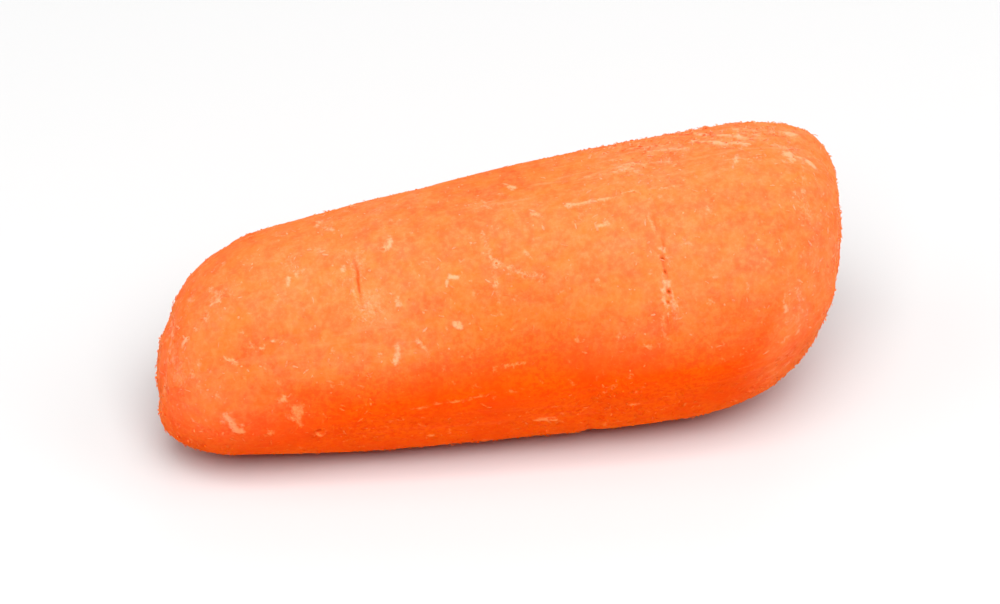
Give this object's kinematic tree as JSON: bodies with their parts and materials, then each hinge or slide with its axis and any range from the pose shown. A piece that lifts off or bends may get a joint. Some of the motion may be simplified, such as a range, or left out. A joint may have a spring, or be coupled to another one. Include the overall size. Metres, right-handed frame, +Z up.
{
  "type": "baby carrot",
  "caption": "Peeled, tumbled length of raw carrot root with rounded ends, tapering from a wide to a narrow end and lying on a small flat spot.",
  "frame": {"origin": "on the surface the carrot lies on, under the middle of its box", "axes": "+X along the carrot from its narrow end to its wide end, +Z up, out of the surface it lies on"},
  "size_m": [0.0456, 0.0186, 0.0185],
  "materials": {
    "carrot_flesh": "satin"
  },
  "bodies": {
    "root": {"carrot": "carrot_flesh"}
  },
  "joints": []
}
